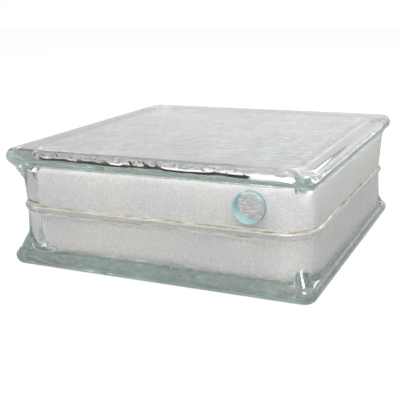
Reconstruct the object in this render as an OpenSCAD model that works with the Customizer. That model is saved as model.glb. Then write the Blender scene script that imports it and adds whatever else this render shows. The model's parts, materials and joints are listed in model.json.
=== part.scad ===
// Hollow glass block with a drilled lamp hole, lying on one face.
// Two pressed glass shells are fused together along the seam half way up the sides.

/* [Block] */
// Width and depth across the faces
block_w = 203; // [150:1:300]
// Thickness from face to face
block_t = 76; // [74:1:120]

/* [Face flange] */
// Radius of the rounded flange edge, which is half the flange's thickness
flange_edge_r = 5.2; // [4:0.1:6]
// Corner radius of the flange, seen square to the face
flange_corner_r = 8; // [7:0.5:12]
// Radius of the fillet between the flange and the side wall
key_fillet_r = 6; // [3:0.5:8]

/* [Side walls] */
// Depth of the mortar key just below the flange
key_depth = 2.5; // [2:0.5:4]
// Extra depth of the mortar key at the seam, from the mould's draft
key_draft = 1.5; // [0.5:0.5:3]
// Vertical corner radius of the side walls
wall_corner_r = 22; // [17:1:26]
// Wall thickness at the seam
wall_t = 6.5; // [5:0.5:9]
// Extra wall thickness at the face, from the mould's draft
wall_taper = 3; // [1:0.5:5]

/* [Faces] */
// Thickness of each face plate
face_t = 8; // [5:0.5:11]
// Fillet radius inside, between the face plate and the walls
cavity_fillet_r = 8; // [4:0.5:9]
// Vertical corner radius inside, at the seam
cavity_corner_r = 15; // [13:0.5:20]

/* [Fused seam] */
// Radius of the bead of glass squeezed out along the seam
bead_r = 2.2; // [1:0.1:3]
// How far the bead stands proud of the wall
bead_proud = 1.8; // [0.5:0.1:2]

/* [Corner webs] */
// How far below the face each corner web runs out into the wall
web_drop = 23; // [16:0.5:26]
// Radius of the web's foot
web_foot_r = 3.5; // [1:0.5:5]

/* [Lamp hole] */
// Diameter of the drilled hole
hole_d = 18; // [10:0.5:20]
// Distance of the hole to the right of the middle
hole_x = 62; // [-66:0.5:66]
// Height of the hole above the seam
hole_rise = 14.5; // [13:0.5:16]

/* [Hidden] */
$fn = 72;
overshoot = 1;
web_margin = 0.8;
fillet_bite = 0.2;
glass_tint = [0.80, 0.88, 0.85];

half_w = block_w / 2;
shell_h = block_t / 2;

// Places of the vertical corner axes, measured from the middle of the block
flange_axis = half_w - flange_corner_r;
wall_axis = half_w - key_depth - wall_corner_r;
wall_inner = half_w - key_depth - key_draft - wall_t;
cavity_axis = wall_inner - cavity_corner_r;

// The wall's outline, measured outwards from its corner axis and up from the seam
wall_top_u = wall_corner_r;
wall_seam_u = wall_corner_r - key_draft;

// Centre of the flange's rounded edge, measured from the wall's corner axis
edge_u = wall_top_u + key_depth - flange_edge_r;
edge_z = shell_h - flange_edge_r;

// Centre of the fillet, which touches the wall and runs a little way into the rounded edge
fillet_u = wall_top_u + key_fillet_r;
fillet_z = edge_z - sqrt(pow(flange_edge_r + key_fillet_r - fillet_bite, 2) - pow(fillet_u - edge_u, 2));

// A solid with a rounded square plan, swept from the outline given as a 2D child.
// The outline's x runs outwards from the corner axis and its y runs upwards.
module swept_square(axis, z0, z1) {
    translate([-axis, -axis, z0])
        cube([2 * axis, 2 * axis, z1 - z0]);
    for (turn = [0 : 90 : 270])
        rotate(turn) {
            translate([axis, axis, 0])
                rotate_extrude(angle = 90)
                    children();
            translate([axis, axis, 0])
                rotate([90, 0, 0])
                    linear_extrude(2 * axis)
                        children();
        }
}

module flange_outline() {
    translate([0, shell_h - 2 * flange_edge_r])
        square([flange_corner_r - flange_edge_r, 2 * flange_edge_r]);
    translate([flange_corner_r - flange_edge_r, edge_z])
        intersection() {
            circle(flange_edge_r);
            translate([-(flange_corner_r - flange_edge_r), -flange_edge_r])
                square([flange_corner_r, 2 * flange_edge_r]);
        }
}

module wall_outline() {
    difference() {
        polygon([
            [0, 0],
            [wall_seam_u, 0],
            [wall_top_u, fillet_z],
            [fillet_u, fillet_z],
            [edge_u, edge_z],
            [0, edge_z]
        ]);
        translate([fillet_u, fillet_z])
            circle(key_fillet_r);
    }
}

module bead_outline() {
    translate([wall_seam_u + bead_proud - bead_r, 0])
        intersection() {
            circle(bead_r);
            translate([-bead_r, 0])
                square(2 * bead_r);
        }
}

// The flange's corner is sharper than the wall's, so a tapered web of glass joins them.
module corner_web() {
    wall_corner = wall_axis * sqrt(2) + wall_corner_r - key_draft;
    lean = flange_axis * sqrt(2) - (wall_corner - web_margin - web_foot_r);
    drop = edge_z - (shell_h - web_drop);
    tilt = atan2(lean, drop);
    rotate(45)
        translate([flange_axis * sqrt(2), 0, edge_z])
            rotate([0, 180 + tilt, 0])
                cylinder(
                    h = drop / cos(tilt),
                    r1 = flange_corner_r * cos(tilt) - web_margin,
                    r2 = web_foot_r
                );
}

module cavity_outline() {
    top_u = cavity_corner_r - wall_taper + key_draft;
    top_z = shell_h - face_t;
    polygon([
        [0, -overshoot],
        [cavity_corner_r, -overshoot],
        [cavity_corner_r, 0],
        [top_u, top_z - cavity_fillet_r],
        [top_u - cavity_fillet_r, top_z - cavity_fillet_r],
        [top_u - cavity_fillet_r, top_z],
        [0, top_z]
    ]);
    translate([top_u - cavity_fillet_r, top_z - cavity_fillet_r])
        intersection() {
            circle(cavity_fillet_r);
            square(cavity_fillet_r);
        }
}

// One pressed shell, with its rim on z = 0 and its face up.
module pressed_shell() {
    difference() {
        union() {
            swept_square(flange_axis, shell_h - 2 * flange_edge_r, shell_h)
                flange_outline();
            swept_square(wall_axis, 0, edge_z)
                wall_outline();
            swept_square(wall_axis, 0, bead_r)
                bead_outline();
            for (turn = [0 : 90 : 270])
                rotate(turn)
                    corner_web();
        }
        swept_square(cavity_axis, -overshoot, shell_h - face_t)
            cavity_outline();
    }
}

module lamp_hole() {
    translate([hole_x, -half_w - overshoot, hole_rise])
        rotate([-90, 0, 0])
            cylinder(h = half_w, d = hole_d);
}

module upper_shell() {
    color(glass_tint)
        translate([0, 0, shell_h])
            difference() {
                pressed_shell();
                lamp_hole();
            }
}

module lower_shell() {
    color(glass_tint)
        translate([0, 0, shell_h])
            mirror([0, 0, 1])
                pressed_shell();
}

lower_shell();
upper_shell();
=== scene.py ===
# Hollow glass block with a drilled lamp hole, lying on a white table.
import json
import math
import bpy
import numpy as np
from mathutils import Matrix, Vector, noise

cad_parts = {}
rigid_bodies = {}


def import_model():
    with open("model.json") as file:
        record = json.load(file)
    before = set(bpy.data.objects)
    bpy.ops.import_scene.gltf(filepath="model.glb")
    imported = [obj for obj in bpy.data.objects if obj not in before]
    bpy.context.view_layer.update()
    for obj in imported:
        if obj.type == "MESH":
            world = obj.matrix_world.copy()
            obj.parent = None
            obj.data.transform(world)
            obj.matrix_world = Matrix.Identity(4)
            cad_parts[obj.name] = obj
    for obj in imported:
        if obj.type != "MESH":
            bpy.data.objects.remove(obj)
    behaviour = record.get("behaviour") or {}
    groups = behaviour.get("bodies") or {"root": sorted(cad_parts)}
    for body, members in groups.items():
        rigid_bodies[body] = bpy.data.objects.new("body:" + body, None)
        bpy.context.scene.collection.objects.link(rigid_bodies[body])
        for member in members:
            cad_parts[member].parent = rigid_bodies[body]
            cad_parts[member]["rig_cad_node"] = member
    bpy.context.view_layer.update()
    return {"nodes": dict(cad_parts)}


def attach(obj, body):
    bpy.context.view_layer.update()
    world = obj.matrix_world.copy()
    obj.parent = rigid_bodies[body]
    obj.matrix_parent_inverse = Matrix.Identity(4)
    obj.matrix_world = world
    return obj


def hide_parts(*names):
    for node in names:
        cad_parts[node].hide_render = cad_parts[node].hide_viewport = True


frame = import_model()
nodes = frame["nodes"]
print("frame loaded:", sorted(nodes))

# camera, fitted to the photo's outline
cameraSettings = {
    "azimuth": 24.2107,
    "elevation": 17.3063,
    "roll": 1.2739,
    "distance": 0.51475,               # from the block's middle
    "slide": (-0.00286, -0.02751),     # to the right and up
    "middle": (0, 0, 0.038),
    "lens": 65.93,
    "sensor": 36,
    "shift": (-0.0319, 0.0559),
    "clip": (0.01, 20),
}


def makeCamera(s):
    az, el, roll = (math.radians(s[k]) for k in ("azimuth", "elevation", "roll"))
    back = Vector((math.sin(az) * math.cos(el), -math.cos(az) * math.cos(el), math.sin(el)))
    right = Vector((math.cos(az), math.sin(az), 0))
    up = back.cross(right)
    place = Vector(s["middle"]) + back * s["distance"] + right * s["slide"][0] + up * s["slide"][1]
    bpy.ops.object.camera_add(location=place)
    camera = bpy.context.object
    camera.name = "photoCamera"
    camRight = right * math.cos(roll) - up * math.sin(roll)
    camUp = right * math.sin(roll) + up * math.cos(roll)
    turn = Matrix((camRight, camUp, back)).transposed()
    camera.rotation_euler = turn.to_euler()
    camera.data.sensor_width = s["sensor"]
    camera.data.lens = s["lens"]
    camera.data.shift_x, camera.data.shift_y = s["shift"]
    camera.data.clip_start, camera.data.clip_end = s["clip"]
    bpy.context.scene.camera = camera


makeCamera(cameraSettings)
print("camera placed")

# the block: both shells fused into one skin, since the real halves are melted together
blockSettings = {
    "seam": 0.038,           # height of the fused seam
    "weld": 0.00002,
    "smoothAngle": 35,
    "inner": (0.008, 0.068),           # heights of the two inner faces
    "levelSlack": 1e-5,      # a face or point this near a height lies on it
    "cutSlack": 1e-6,
    "rippleGrid": 0.0025,
    "rippleReach": 0.0815,             # the flat part of an inner face ends here
    "rippleBorder": 0.0005,            # its outermost points stay where they are
    "rippleFade": 0.004,
    "rippleCell": 0.0075,
    "rippleSquash": 1.25,              # the ripples are this much narrower along Y
    "rippleHeight": 0.00044,
}


def selectLevelFaces(mesh, height, slack):
    # into edit mode, with the flat faces at this height selected
    bpy.ops.object.mode_set(mode="EDIT")
    bpy.ops.mesh.select_mode(type="FACE")
    bpy.ops.mesh.select_all(action="DESELECT")
    bpy.ops.object.mode_set(mode="OBJECT")
    centers = np.empty(3 * len(mesh.polygons))
    mesh.polygons.foreach_get("center", centers)
    mesh.polygons.foreach_set("select", abs(centers[2::3] - height) < slack)
    bpy.ops.object.mode_set(mode="EDIT")


def rippleFace(block, s, height):
    # cut the flat inner face into a grid, then raise and lower its crossings
    mesh = block.data
    reach = s["rippleReach"]
    selectLevelFaces(mesh, height, s["levelSlack"])
    bpy.ops.mesh.dissolve_limited(angle_limit=math.radians(1))
    bpy.ops.object.mode_set(mode="OBJECT")
    count = int(2 * reach / s["rippleGrid"])
    for axis in ((1, 0, 0), (0, 1, 0)):
        for i in range(1, count):
            place = -reach + 2 * reach * i / count
            selectLevelFaces(mesh, height, s["levelSlack"])
            bpy.ops.mesh.bisect(plane_co=Vector(axis) * place, plane_no=axis, threshold=s["cutSlack"])
            bpy.ops.object.mode_set(mode="OBJECT")
    for vertex in mesh.vertices:
        x, y, z = vertex.co
        fromMiddle = max(abs(x), abs(y))
        if abs(z - height) > s["levelSlack"] or fromMiddle > reach - s["rippleBorder"]:
            continue
        fade = min(1.0, (reach - fromMiddle) / s["rippleFade"])
        spot = Vector((x, y * s["rippleSquash"], height)) / s["rippleCell"]
        vertex.co.z += noise.noise(spot) * fade * s["rippleHeight"]


def makeBlock(s):
    bpy.ops.object.select_all(action="DESELECT")
    for name in ("lower_shell", "upper_shell"):
        nodes[name].select_set(True)
    bpy.context.view_layer.objects.active = nodes["lower_shell"]
    bpy.ops.object.duplicate()
    bpy.ops.object.parent_clear(type="CLEAR_KEEP_TRANSFORM")
    bpy.ops.object.join()
    block = bpy.context.object
    block.name = "fusedBlock"
    del block["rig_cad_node"]
    selectLevelFaces(block.data, s["seam"], s["levelSlack"])
    bpy.ops.mesh.delete(type="FACE")      # the two faces that met inside the seam
    bpy.ops.mesh.select_all(action="SELECT")
    bpy.ops.mesh.customdata_custom_splitnormals_clear()
    bpy.ops.mesh.remove_doubles(threshold=s["weld"])
    bpy.ops.object.mode_set(mode="OBJECT")
    for height in s["inner"]:
        rippleFace(block, s, height)
    bpy.ops.object.shade_smooth_by_angle(angle=math.radians(s["smoothAngle"]))
    weighted = block.modifiers.new("evenNormals", "WEIGHTED_NORMAL")
    weighted.keep_sharp = True
    bpy.ops.object.modifier_apply(modifier=weighted.name)
    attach(block, "root")
    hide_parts("lower_shell", "upper_shell")
    return block


block = makeBlock(blockSettings)
print("block fused:", len(block.data.polygons), "faces")


# small helpers for node trees
def addNode(tree, kind, **values):
    node = tree.nodes.new(kind)
    for key, value in values.items():
        setattr(node, key, value)
    return node


def setSockets(node, **values):
    for key, value in values.items():
        node.inputs[key.replace("_", " ")].default_value = value
    return node


def mathNode(tree, operation, a, b=None, clamp=False):
    node = addNode(tree, "ShaderNodeMath", operation=operation, use_clamp=clamp)
    for i, value in enumerate((a, b)):
        if value is None:
            continue
        if isinstance(value, (int, float)):
            node.inputs[i].default_value = value
        else:
            tree.links.new(value, node.inputs[i])
    return node.outputs[0]


def times(tree, first, *others):
    for other in others:
        first = mathNode(tree, "MULTIPLY", first, other)
    return first


def plus(tree, first, *others):
    for other in others:
        first = mathNode(tree, "ADD", first, other)
    return first


def minus(tree, a, b):
    return mathNode(tree, "SUBTRACT", a, b)


def larger(tree, a, b):
    return mathNode(tree, "MAXIMUM", a, b)


def isLess(tree, a, b):
    return mathNode(tree, "LESS_THAN", a, b)


def isMore(tree, a, b):
    return mathNode(tree, "GREATER_THAN", a, b)


def diagonal(tree, a, b):
    return mathNode(tree, "SQRT", plus(tree, times(tree, a, a), times(tree, b, b)))


def mapRange(tree, value, low, high, start=0.0, end=1.0, kind="SMOOTHSTEP"):
    ramp = addNode(tree, "ShaderNodeMapRange", interpolation_type=kind)
    setSockets(ramp, From_Min=low, From_Max=high, To_Min=start, To_Max=end)
    tree.links.new(value, ramp.inputs["Value"])
    return ramp.outputs[0]


def risesAt(tree, value, place, soft):
    return mapRange(tree, value, place - soft, place + soft)


def fallsAt(tree, value, place, soft):
    return mapRange(tree, value, place - soft, place + soft, 1.0, 0.0)


def band(tree, value, low, high, soft):
    # 1 between low and high, fading over soft on both sides
    return times(tree, risesAt(tree, value, low, soft), fallsAt(tree, value, high, soft))


def noiseNode(tree, vector, stretch, **values):
    spread = addNode(tree, "ShaderNodeMapping")
    spread.inputs["Scale"].default_value = stretch
    tree.links.new(vector, spread.inputs[0])
    texture = addNode(tree, "ShaderNodeTexNoise")
    setSockets(texture, Scale=1.0, **values)
    tree.links.new(spread.outputs[0], texture.inputs["Vector"])
    return texture.outputs["Fac"]


def waves(tree, vector, stretch, depth, **values):
    # noise that swings evenly both ways
    return times(tree, minus(tree, noiseNode(tree, vector, stretch, **values), 0.5), depth)


def blendColor(tree, amount, a, b, kind="MIX"):
    mix = addNode(tree, "ShaderNodeMix", data_type="RGBA", blend_type=kind)
    for socket, value in ((mix.inputs[0], amount), (mix.inputs[6], a), (mix.inputs[7], b)):
        if isinstance(value, (int, float, tuple)):
            socket.default_value = value
        else:
            tree.links.new(value, socket)
    return mix.outputs[2]


def colorRamp(tree, value, stops):
    ramp = addNode(tree, "ShaderNodeValToRGB")
    elements = ramp.color_ramp.elements
    while len(elements) > 1:
        elements.remove(elements[-1])
    elements[0].position, elements[0].color = stops[0]
    for place, color in stops[1:]:
        elements.new(place).color = color
    tree.links.new(value, ramp.inputs[0])
    return ramp.outputs[0]


# the glass's skin: which of its points face the cavity
skinSettings = {
    "seam": blockSettings["seam"],
    "cornerAxis": 0.076,     # of the cavity's rounded corners, from the block's middle
    "cavityReach": 0.0175,   # from that axis: the cavity's skin is nearer than this
    "outerReach": 0.0185,    # and the outside of the walls is farther than this
    "cavityTop": 0.031,      # just past the cavity's top and floor, from the seam
}


def readSkin(tree, s):
    coord = addNode(tree, "ShaderNodeTexCoord").outputs["Object"]
    split = addNode(tree, "ShaderNodeSeparateXYZ")
    tree.links.new(coord, split.inputs[0])
    x, y, z = split.outputs
    sideX = mathNode(tree, "ABSOLUTE", x)
    sideY = mathNode(tree, "ABSOLUTE", y)
    fromSeam = mathNode(tree, "ABSOLUTE", minus(tree, z, s["seam"]))
    pastX = larger(tree, minus(tree, sideX, s["cornerAxis"]), 0.0)
    pastY = larger(tree, minus(tree, sideY, s["cornerAxis"]), 0.0)
    reach = diagonal(tree, pastX, pastY)
    inPlan = isLess(tree, reach, s["cavityReach"])
    return {
        "coord": coord, "x": x, "y": y, "z": z,
        "sideX": sideX, "sideY": sideY, "fromSeam": fromSeam,
        "below": isLess(tree, z, s["seam"]),
        "inside": times(tree, inPlan, isLess(tree, fromSeam, s["cavityTop"])),
        "outside": isMore(tree, reach, s["outerReach"]),
    }


# hazy coating inside the side walls: fine grain, with warm and lilac clouds
hazeSettings = {
    "warm": (0.85, 0.825, 0.78, 1),
    "cool": (0.80, 0.765, 0.785, 1),
    "cover": 0.90,           # how much of the light the coating stops
    "roughness": 0.45,
    "top": 0.0266,           # above the seam, the haze stops here
    "bottom": 0.0292,        # and here below it, where it runs down over the rounded edge
    "side": 0.081,           # and here along each wall, short of the left corners
    "topRound": 0.006,       # radius of the haze's corners above the seam
    "bottomRound": 0.018,    # and below it
    "soft": 0.0009,
    "ragged": 0.004,         # how far the lower end wanders
    "raggedScale": (120, 120, 120),
    "cloudScale": (22, 22, 30),
    "clouds": (0.34, 0.66),            # noise from here to here goes from warm to cool
    "grainScale": (900, 900, 900),
    "grain": (0.3, 0.7),
    "grainShade": (0.80, 1.12),
}


def hazeMask(tree, skin, s):
    # a rounded rectangle on each wall, ragged at its lower end
    below = skin["below"]
    above = minus(tree, 1.0, below)
    ragged = waves(tree, skin["coord"], s["raggedScale"], s["ragged"], Detail=3.0, Roughness=0.6)
    radius = plus(tree, times(tree, above, s["topRound"]), times(tree, below, s["bottomRound"]))
    limit = plus(tree, times(tree, above, s["top"]), times(tree, below, s["bottom"]))
    onLeft = isLess(tree, skin["x"], 0.0)
    along = times(tree, mathNode(tree, "MINIMUM", skin["sideX"], skin["sideY"]), onLeft)
    pastSide = larger(tree, minus(tree, plus(tree, along, radius), s["side"]), 0.0)
    height = plus(tree, skin["fromSeam"], radius, times(tree, ragged, below))
    pastEnd = larger(tree, minus(tree, height, limit), 0.0)
    past = minus(tree, diagonal(tree, pastSide, pastEnd), radius)
    return times(tree, skin["inside"], fallsAt(tree, past, 0.0, s["soft"]))


def hazeColor(tree, skin, s):
    clouds = noiseNode(tree, skin["coord"], s["cloudScale"], Detail=2.0, Roughness=0.5)
    grain = noiseNode(tree, skin["coord"], s["grainScale"], Detail=2.0, Roughness=0.7)
    haze = blendColor(tree, mapRange(tree, clouds, *s["clouds"]), s["warm"], s["cool"])
    shade = mapRange(tree, grain, *s["grain"], *s["grainShade"], kind="LINEAR")
    return blendColor(tree, 1.0, haze, shade, "MULTIPLY")


# white frosted spots low on the cavity's walls
frostSettings = {
    "color": (0.98, 0.99, 1.0, 1),
    "top": 0.0262,           # below the seam, the spots lie between these
    "bottom": 0.0299,
    "soft": 0.0008,
    "scale": (130, 130, 260),
    "from": 0.56,            # the spots are where the noise is above this
    "spotSoft": 0.03,
}


def frostMask(tree, skin, s):
    spots = noiseNode(tree, skin["coord"], s["scale"], Detail=2.0, Roughness=0.5)
    low = times(tree, skin["inside"], skin["below"])
    low = times(tree, low, band(tree, skin["fromSeam"], s["top"], s["bottom"], s["soft"]))
    return times(tree, low, risesAt(tree, spots, s["from"], s["spotSoft"]))


# bore of the drilled hole, left frosted on its left and lower side and nearly clear on the other
boreSettings = {
    "color": (0.28, 0.47, 0.48, 1),
    "at": (0.062, 0.0525),
    "radius": 0.0093,
    "wallInside": -0.088,    # the bore is in front of this
    "lean": (-0.4, 0.6),     # from the clear to the frosted side, in radii
    "cover": (0.12, 0.70),
}


def boreMask(tree, skin, s):
    # returns where the bore is, and how frosted it is there
    dx = minus(tree, skin["x"], s["at"][0])
    dz = minus(tree, skin["z"], s["at"][1])
    inHole = isLess(tree, diagonal(tree, dx, dz), s["radius"])
    onBore = times(tree, inHole, isLess(tree, skin["y"], s["wallInside"]))
    lean = times(tree, plus(tree, dx, dz), -1.0 / s["radius"])
    return onBore, mapRange(tree, lean, *s["lean"], *s["cover"])


# painted shade: thin dark lines in the two creases beside the seam's bead, broken by noise
creaseShadeSettings = {
    "color": (0.20, 0.18, 0.11, 1),
    "crease": (0.0014, 0.0029),        # from the seam
    "soft": 0.0004,
    "scale": (90, 90, 400),
    "strength": 1.7,
    "cover": 0.8,
}


# where the painted crease shade lies beside the seam
def creaseShadeMask(tree, skin, s):
    broken = noiseNode(tree, skin["coord"], s["scale"], Detail=3.0, Roughness=0.6)
    crease = times(tree, band(tree, skin["fromSeam"], *s["crease"], s["soft"]), skin["outside"])
    return times(tree, crease, mathNode(tree, "MULTIPLY", broken, s["strength"], clamp=True))


# relief of the skin, with its depths in mm
reliefSettings = {
    "rippleDepth": 1.4,      # inside the faces
    "rippleScale": (190, 230, 190),
    "rippleFrom": 0.0250,    # above and below the seam, the ripples begin here
    "rippleSoft": 0.0020,
    "rippleFront": -0.080,   # and fade out here at the front
    "frontSoft": 0.003,
    "swellDepth": 2.0,       # slow swells in the faces and their rounded edges
    "swellScale": (45, 60, 45),
    "roundFrom": 0.0266,     # above and below the seam, the rounded edges begin here
    "roundSoft": 0.0015,
    "markDepth": 0.90,       # fine marks along the rounded front edge
    "markScale": (260, 420, 420),
    "marks": (-0.0888, -0.0846),       # they lie between these
    "markSoft": 0.0008,
    "edgeTilt": -3.2,        # how far the inside drops across its rounded front edge
    "edge": (-0.0775, -0.0895),
    "outerDepth": 0.30,      # slow waves in the outside
    "outerScale": (28, 28, 75),
    "unit": 0.001,
}


def skinRelief(tree, skin, s):
    coord, y, inside = skin["coord"], skin["y"], skin["inside"]
    onRound = times(tree, inside, risesAt(tree, skin["fromSeam"], s["roundFrom"], s["roundSoft"]))
    onFace = times(tree, inside, risesAt(tree, skin["fromSeam"], s["rippleFrom"], s["rippleSoft"]))
    onFace = times(tree, onFace, risesAt(tree, y, s["rippleFront"], s["frontSoft"]))
    onMarks = times(tree, onRound, band(tree, y, *s["marks"], s["markSoft"]))
    ripple = waves(
        tree, coord, s["rippleScale"], s["rippleDepth"], Detail=3.0, Roughness=0.55, Distortion=0.8)
    swell = waves(tree, coord, s["swellScale"], s["swellDepth"], Detail=1.0, Roughness=0.4)
    marks = waves(tree, coord, s["markScale"], s["markDepth"], Detail=2.0, Roughness=0.6)
    outer = waves(tree, coord, s["outerScale"], s["outerDepth"], Detail=1.0, Roughness=0.5)
    tilt = mapRange(tree, y, *s["edge"], 0.0, s["edgeTilt"], kind="LINEAR")
    height = plus(
        tree,
        times(tree, ripple, onFace),
        times(tree, swell, onRound),
        times(tree, tilt, inside),
        times(tree, marks, onMarks),
        times(tree, outer, minus(tree, 1.0, inside)))
    bump = addNode(tree, "ShaderNodeBump")
    setSockets(bump, Strength=1.0, Distance=s["unit"])
    tree.links.new(height, bump.inputs["Height"])
    return bump.outputs[0]


# pressed glass, clear but for what lies on its skin
glassSettings = {
    "ior": 1.52,
    "tint": (1.0, 1.0, 1.0, 1),
    "absorb": (0.60, 0.79, 0.72, 1),   # the green of the glass's depth
    "density": 6.5,
}


def makeGlass(s):
    glass = bpy.data.materials.new("pressedGlass")
    glass.use_nodes = True
    tree = glass.node_tree
    tree.nodes.clear()
    link = tree.links.new
    skin = readSkin(tree, skinSettings)
    onWall = hazeMask(tree, skin, hazeSettings)
    onFrost = frostMask(tree, skin, frostSettings)
    onBore, boreFrost = boreMask(tree, skin, boreSettings)
    creaseShade = creaseShadeMask(tree, skin, creaseShadeSettings)

    color = blendColor(tree, onWall, s["tint"], hazeColor(tree, skin, hazeSettings))
    color = blendColor(tree, onFrost, color, frostSettings["color"])
    color = blendColor(tree, onBore, color, boreSettings["color"])
    # painted shade: the seam's two creases are darkened and made mostly opaque
    color = blendColor(tree, creaseShade, color, creaseShadeSettings["color"])
    cover = times(tree, larger(tree, onWall, onFrost), hazeSettings["cover"])
    cover = larger(tree, cover, times(tree, onBore, boreFrost))
    cover = larger(tree, cover, times(tree, creaseShade, creaseShadeSettings["cover"]))
    rough = times(tree, larger(tree, onWall, onBore), hazeSettings["roughness"])

    body = addNode(tree, "ShaderNodeBsdfPrincipled")
    setSockets(body, IOR=s["ior"])
    link(color, body.inputs["Base Color"])
    link(minus(tree, 1.0, cover), body.inputs["Transmission Weight"])
    link(rough, body.inputs["Roughness"])
    link(skinRelief(tree, skin, reliefSettings), body.inputs["Normal"])
    absorb = addNode(tree, "ShaderNodeVolumeAbsorption")
    setSockets(absorb, Color=s["absorb"], Density=s["density"])
    out = addNode(tree, "ShaderNodeOutputMaterial")
    link(body.outputs[0], out.inputs["Surface"])
    link(absorb.outputs[0], out.inputs["Volume"])
    return glass


pressedGlass = makeGlass(glassSettings)
block.data.materials.clear()
block.data.materials.append(pressedGlass)
print("glass made")

# white table; clear glass shows it darker than the camera does
tableSettings = {
    "size": 6,
    "airGap": 0.0003,        # the block touches the table only at its high spots
    "color": (0.94, 0.94, 0.94, 1),
    "roughness": 0.9,
    "shadow": 0.30,          # how much of the block's shadow the camera sees
    "inGlass": 0.36,         # how bright the table looks through the glass
    "plainInGlass": 0.85,    # how much of that is even, without shadow
}


def makeTable(s):
    bpy.ops.mesh.primitive_plane_add(size=s["size"], location=(0, 0, -s["airGap"]))
    table = bpy.context.object
    table.name = "whiteTable"
    white = bpy.data.materials.new("whiteTop")
    white.use_nodes = True
    tree = white.node_tree
    link = tree.links.new
    lit = tree.nodes["Principled BSDF"]
    setSockets(lit, Base_Color=s["color"], Roughness=s["roughness"], Specular_IOR_Level=0.0)
    path = addNode(tree, "ShaderNodeLightPath")
    camera = path.outputs["Is Camera Ray"]
    glassy = larger(tree, path.outputs["Is Transmission Ray"], path.outputs["Is Glossy Ray"])
    plain = addNode(tree, "ShaderNodeEmission")
    link(plus(tree, camera, times(tree, glassy, s["inGlass"])), plain.inputs["Strength"])
    share = plus(tree, times(tree, camera, 1 - s["shadow"]), times(tree, glassy, s["plainInGlass"]))
    mix = addNode(tree, "ShaderNodeMixShader")
    link(share, mix.inputs[0])
    link(lit.outputs[0], mix.inputs[1])
    link(plain.outputs[0], mix.inputs[2])
    link(mix.outputs[0], tree.nodes["Material Output"].inputs["Surface"])
    table.data.materials.append(white)


makeTable(tableSettings)

# plain studio; heights are sines of the angle above the horizon, 1 straight up
studioSettings = {
    "low": (1.00, 0.97, 1.01, 1),      # walls of the room, from the horizon up
    "middle": (1.02, 1.02, 1.02, 1),
    "high": (1.15, 1.14, 1.15, 1),
    "lowTo": (0.16, 0.32),             # low ends, and middle begins
    "highFrom": (0.6, 0.85),           # middle ends, and high begins
    "dim": (0.20, 0.21, 0.20, 1),      # what clear glass shows of the room behind it, low down
    "dimTo": 0.38,
    "dimSoft": 0.10,
    "strip": (0.03, 0.12),   # a bright strip in the dim room, seen in streaks along the flanges
    "stripSoft": 0.01,
    "gap": (0.006, 0.004, 0.006, 1),   # dark gap between the studio's white screens
    "gapEdge": (0.40, 0.16, 0.08, 1),
    "gapFrom": 0.30,
    "gapTo": 0.82,
    "gapFade": 0.02,
    "gapAcross": (-0.95, -0.36),       # its reach along X, behind the block
    "gapSoft": 0.001,
    "slitTo": 0.36,          # right of the gap, a narrow dark slit goes on up to this
    "slitSoft": 0.01,
}


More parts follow.
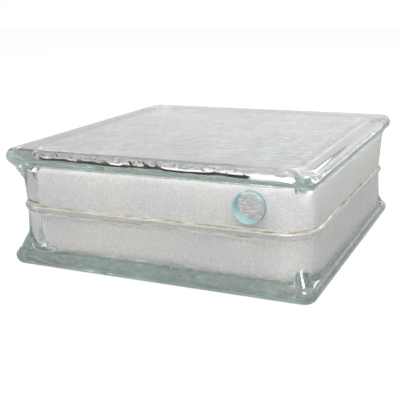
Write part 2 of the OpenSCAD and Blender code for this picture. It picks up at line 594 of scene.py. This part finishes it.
def makeRoom(tree, s):
    split = addNode(tree, "ShaderNodeSeparateXYZ")
    tree.links.new(addNode(tree, "ShaderNodeTexCoord").outputs["Generated"], split.inputs[0])
    x, y, z = split.outputs
    room = colorRamp(tree, z, [
        (0.0, s["low"]), (s["lowTo"][0], s["low"]), (s["lowTo"][1], s["middle"]),
        (s["highFrom"][0], s["middle"]), (s["highFrom"][1], s["high"])])

    # clear glass shows the room dim low down, but the haze is lit by all of it
    path = addNode(tree, "ShaderNodeLightPath")
    straight = isLess(tree, path.outputs["Diffuse Depth"], 0.5)
    seen = times(tree, path.outputs["Is Transmission Ray"], straight)
    lowDown = fallsAt(tree, z, s["dimTo"], s["dimSoft"])
    strip = band(tree, z, *s["strip"], s["stripSoft"])
    dim = blendColor(tree, strip, s["dim"], s["middle"])
    room = blendColor(tree, times(tree, seen, lowDown), room, dim)

    # the dark gap with its reddish ends, and the slit beside it
    start, end, fade = s["gapFrom"], s["gapTo"], s["gapFade"]
    gap = colorRamp(tree, z, [
        (start - fade, s["middle"]), (start, s["gapEdge"]), (start + fade, s["gap"]),
        (end - fade, s["gap"]), (end, s["gapEdge"]), (end + fade, s["middle"])])
    left, right = s["gapAcross"]
    behind = isMore(tree, y, 0.0)
    inGap = times(tree, band(tree, x, left, right, fade), behind)
    inGap = times(tree, inGap, band(tree, z, start - fade, end + fade, s["gapSoft"]))
    inSlit = times(tree, risesAt(tree, x, right, fade), behind)
    inSlit = times(tree, inSlit, band(tree, z, start, s["slitTo"], s["slitSoft"]))
    room = blendColor(tree, inGap, room, gap)
    return blendColor(tree, inSlit, room, s["gap"]), path.outputs["Is Camera Ray"]


def makeWorld(s):
    world = bpy.data.worlds.new("studio")
    bpy.context.scene.world = world
    world.use_nodes = True
    tree = world.node_tree
    tree.nodes.clear()
    link = tree.links.new
    room, camera = makeRoom(tree, s)
    studio = addNode(tree, "ShaderNodeBackground")
    link(room, studio.inputs["Color"])
    white = addNode(tree, "ShaderNodeBackground")
    setSockets(white, Color=(1, 1, 1, 1))
    mix = addNode(tree, "ShaderNodeMixShader")
    link(camera, mix.inputs[0])
    link(studio.outputs[0], mix.inputs[1])
    link(white.outputs[0], mix.inputs[2])
    link(mix.outputs[0], addNode(tree, "ShaderNodeOutputWorld").inputs["Surface"])


makeWorld(studioSettings)

# two square lamps that face the block
lampSettings = {
    "size": 0.7,
    "frontLamp": {"place": (0.40, -0.90, 0.95), "energy": 21},
    "backLamp": {"place": (0.30, 1.10, 0.85), "energy": 6},
}


def makeLamp(name, s):
    place = s[name]["place"]
    bpy.ops.object.light_add(type="AREA", location=place)
    lamp = bpy.context.object
    lamp.name = name
    lamp.rotation_euler = Vector(place).to_track_quat("Z", "Y").to_euler()
    lamp.data.size = s["size"]
    lamp.data.energy = s[name]["energy"]


makeLamp("frontLamp", lampSettings)
makeLamp("backLamp", lampSettings)
print("table and light made")

# enough bounces for light to pass the block's many glass skins
scene = bpy.context.scene
scene.view_settings.view_transform = "Standard"
scene.cycles.max_bounces = 32
scene.cycles.transmission_bounces = 28
scene.cycles.glossy_bounces = 12
scene.cycles.transparent_max_bounces = 16
